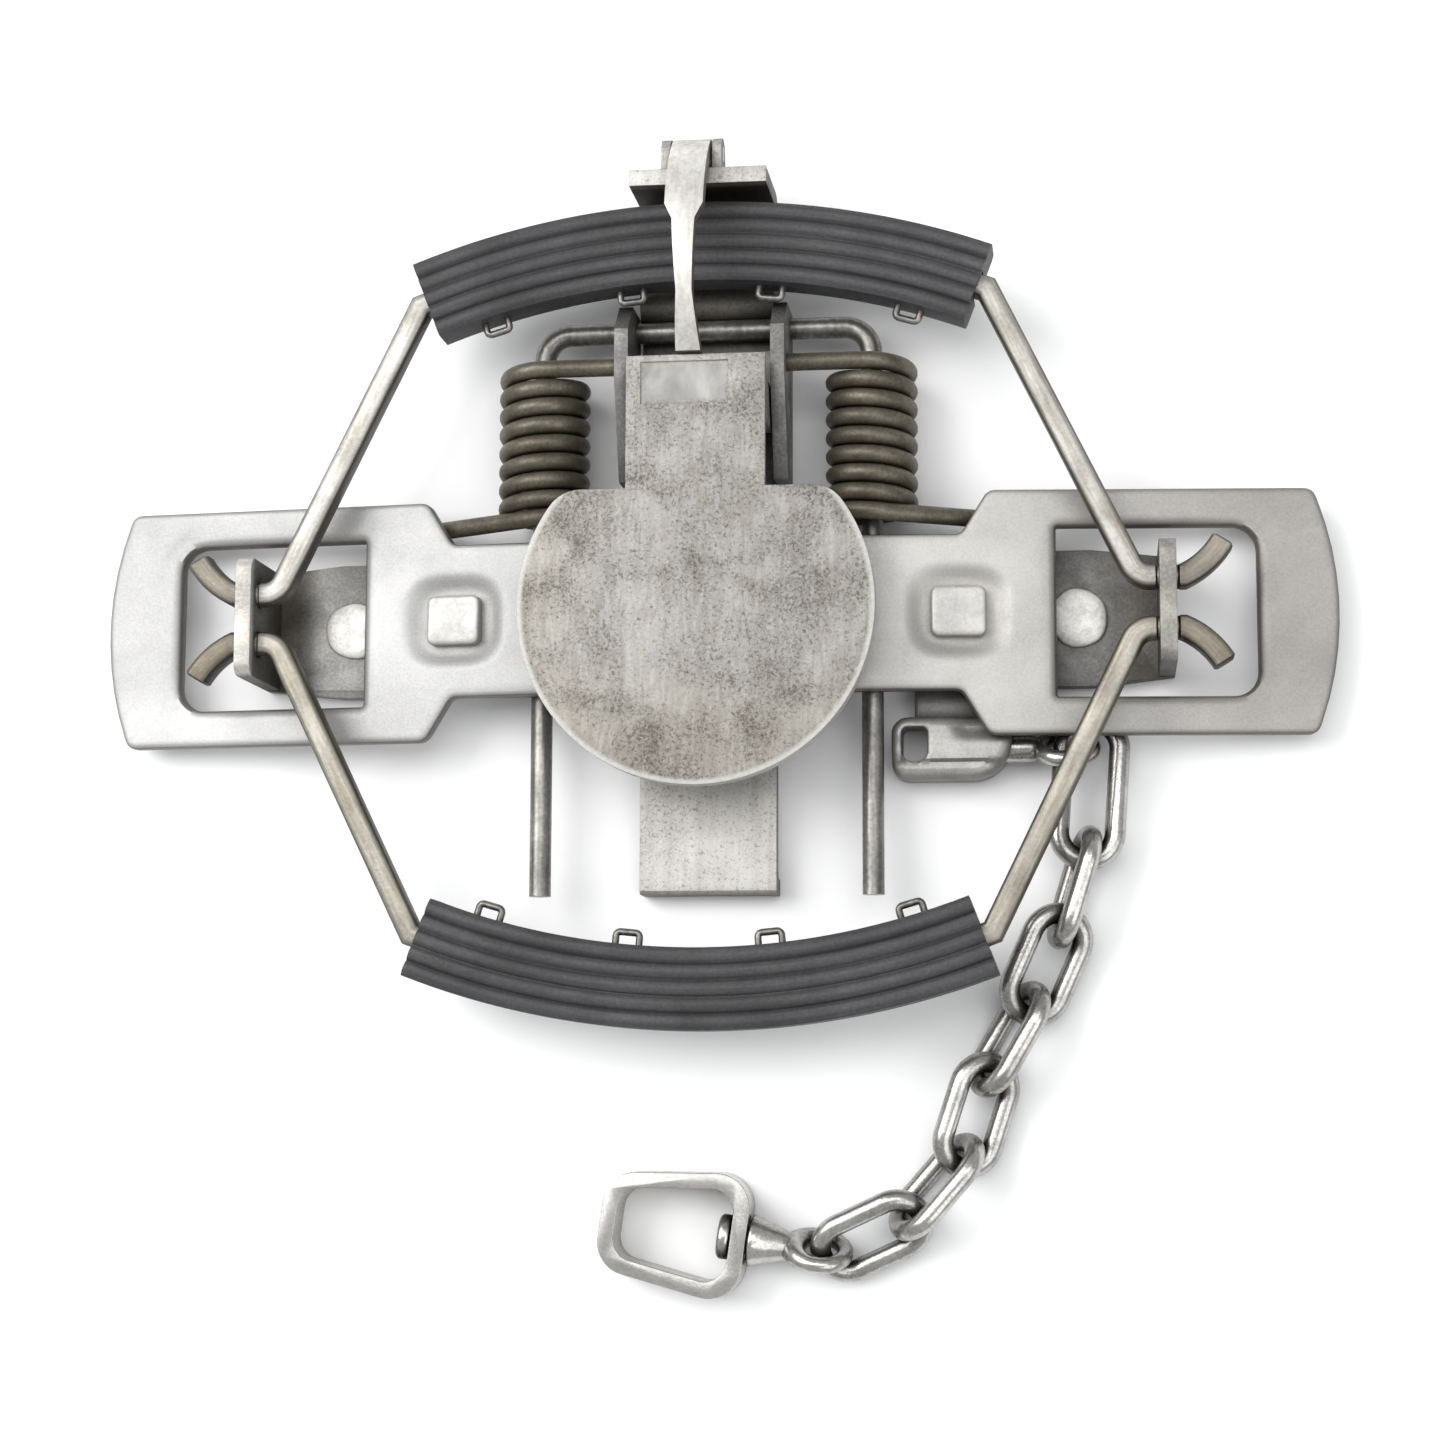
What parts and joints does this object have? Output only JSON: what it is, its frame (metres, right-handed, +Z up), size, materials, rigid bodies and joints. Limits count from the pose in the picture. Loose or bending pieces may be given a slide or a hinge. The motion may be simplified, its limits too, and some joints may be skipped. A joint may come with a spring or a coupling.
{
  "type": "leghold trap",
  "caption": "Double coil-spring foothold trap, set: padded jaws open round a pan, spring levers down, dog over one jaw, with a swivel chain and end ring.",
  "frame": {"origin": "centre of the base strip's underside, on the ground", "axes": "+X to the right-hand lever, +Y to the dog, +Z up from the ground"},
  "size_m": [0.23, 0.2111, 0.0341],
  "materials": {
    "galvanised": "weathered zinc",
    "frame_steel": "dull zinc",
    "spring_steel": "oiled dark steel",
    "jaw_steel": "dull worn steel",
    "rubber_pad": "ribbed matt rubber",
    "pan_metal": "weathered zinc",
    "chain_steel": "bright worn zinc"
  },
  "bodies": {
    "frame": {"base_strip": "frame_steel", "cross_frame": "frame_steel", "centre_rivet": "frame_steel", "base_rivets": "frame_steel", "pan_bracket": "frame_steel", "bracket_rivets": "frame_steel", "spring_rod": "frame_steel", "pan_pin": "frame_steel", "dog_pin": "frame_steel", "swivel_bracket": "frame_steel", "left_coil_spring": "spring_steel", "right_coil_spring": "spring_steel"},
    "upper_jaw": {"upper_jaw": "jaw_steel", "upper_pad": "rubber_pad", "upper_pad_clips": "jaw_steel"},
    "lower_jaw": {"lower_jaw": "jaw_steel", "lower_pad": "rubber_pad", "lower_pad_clips": "jaw_steel"},
    "left_lever": {"left_lever": "galvanised", "left_knuckle": "frame_steel", "left_lever_rivet": "galvanised"},
    "right_lever": {"right_lever": "galvanised", "right_knuckle": "frame_steel", "right_lever_rivet": "galvanised"},
    "dog": {"dog": "jaw_steel"},
    "pan": {"pan": "pan_metal"},
    "base_swivel": {"base_swivel": "chain_steel"},
    "link_1": {"chain_link_1": "chain_steel"},
    "link_2": {"chain_link_2": "chain_steel"},
    "link_3": {"chain_link_3": "chain_steel"},
    "link_4": {"chain_link_4": "chain_steel"},
    "link_5": {"chain_link_5": "chain_steel"},
    "link_6": {"chain_link_6": "chain_steel"},
    "link_7": {"chain_link_7": "chain_steel"},
    "end_swivel": {"end_swivel": "chain_steel"},
    "end_ring": {"end_ring": "chain_steel"}
  },
  "joints": [
    {"name": "upper_jaw_swing", "type": "hinge", "parent": "frame", "child": "upper_jaw", "pos_m": [0, 0.0046, 0.018], "axis": [1, 0, 0], "range_deg": [0, 90]},
    {"name": "lower_jaw_swing", "type": "hinge", "parent": "frame", "child": "lower_jaw", "pos_m": [0, -0.0046, 0.018], "axis": [-1, 0, 0], "range_deg": [0, 90]},
    {"name": "left_lever_swing", "type": "hinge", "parent": "frame", "child": "left_lever", "pos_m": [-0.0307, 0, 0.009], "axis": [0, 1, 0], "range_deg": [0, 30.01], "deforming": ["left_coil_spring"]},
    {"name": "right_lever_swing", "type": "hinge", "parent": "frame", "child": "right_lever", "pos_m": [0.0307, 0, 0.009], "axis": [0, -1, 0], "range_deg": [0, 30.01], "deforming": ["right_coil_spring"]},
    {"name": "dog_swing", "type": "hinge", "parent": "frame", "child": "dog", "pos_m": [-0.0012, 0.085, 0.0205], "axis": [-1, 0, 0], "range_deg": [0, 202.5]},
    {"name": "pan_tilt", "type": "hinge", "parent": "frame", "child": "pan", "pos_m": [0, 0.038, 0.0135], "axis": [1, 0, 0], "range_deg": [0, 6]},
    {"name": "base_swivel_turn", "type": "hinge", "parent": "frame", "child": "base_swivel", "pos_m": [0.056, -0.0243, 0.0056], "axis": [1, 0, 0], "range_deg": [-2, 4]},
    {"name": "link_1_swing", "type": "hinge", "parent": "base_swivel", "child": "link_1", "pos_m": [0.0704, -0.0243, 0.0056], "axis": [0, 0, 1], "range_deg": [-5, 20]},
    {"name": "link_2_swing", "type": "hinge", "parent": "link_1", "child": "link_2", "pos_m": [0.06878, -0.04487, 0.00706], "axis": [0.9976, -0.0698, 0], "range_deg": [-2, 15]},
    {"name": "link_3_swing", "type": "hinge", "parent": "link_2", "child": "link_3", "pos_m": [0.06391, -0.05905, 0.0069], "axis": [-0.2151, 0.0658, -0.9744], "range_deg": [-15, 15]},
    {"name": "link_4_swing", "type": "hinge", "parent": "link_3", "child": "link_4", "pos_m": [0.0576, -0.07256, 0.00632], "axis": [-0.8337, 0.3557, 0.4224], "range_deg": [-15, 15]},
    {"name": "link_5_swing", "type": "hinge", "parent": "link_4", "child": "link_5", "pos_m": [0.04993, -0.08536, 0.0064], "axis": [-0.433, 0.25, -0.866], "range_deg": [-15, 15]},
    {"name": "link_6_swing", "type": "hinge", "parent": "link_5", "child": "link_6", "pos_m": [0.04576, -0.09973, 0.0064], "axis": [-0.8236, 0.2676, 0.5], "range_deg": [-15, 15]},
    {"name": "link_7_swing", "type": "hinge", "parent": "link_6", "child": "link_7", "pos_m": [0.0352, -0.11053, 0.0064], "axis": [-0.3774, 0.328, -0.866], "range_deg": [-15, 15]},
    {"name": "end_swivel_swing", "type": "hinge", "parent": "link_7", "child": "end_swivel", "pos_m": [0.02113, -0.11607, 0.00571], "axis": [-0.3842, 0.7764, 0.4996], "range_deg": [-15, 15]},
    {"name": "end_ring_turn", "type": "hinge", "parent": "end_swivel", "child": "end_ring", "pos_m": [0.02039, -0.11471, 0.0058], "axis": [-0.9903, 0.1392, 0], "continuous": true}
  ],
  "couplings": [
    {"joint": "lower_jaw_swing", "follows": "upper_jaw_swing", "ratio": 1},
    {"joint": "left_lever_swing", "follows": "upper_jaw_swing", "ratio": 0.33333},
    {"joint": "right_lever_swing", "follows": "upper_jaw_swing", "ratio": 0.33333},
    {"joint": "dog_swing", "follows": "upper_jaw_swing", "ratio": 2.25}
  ]
}
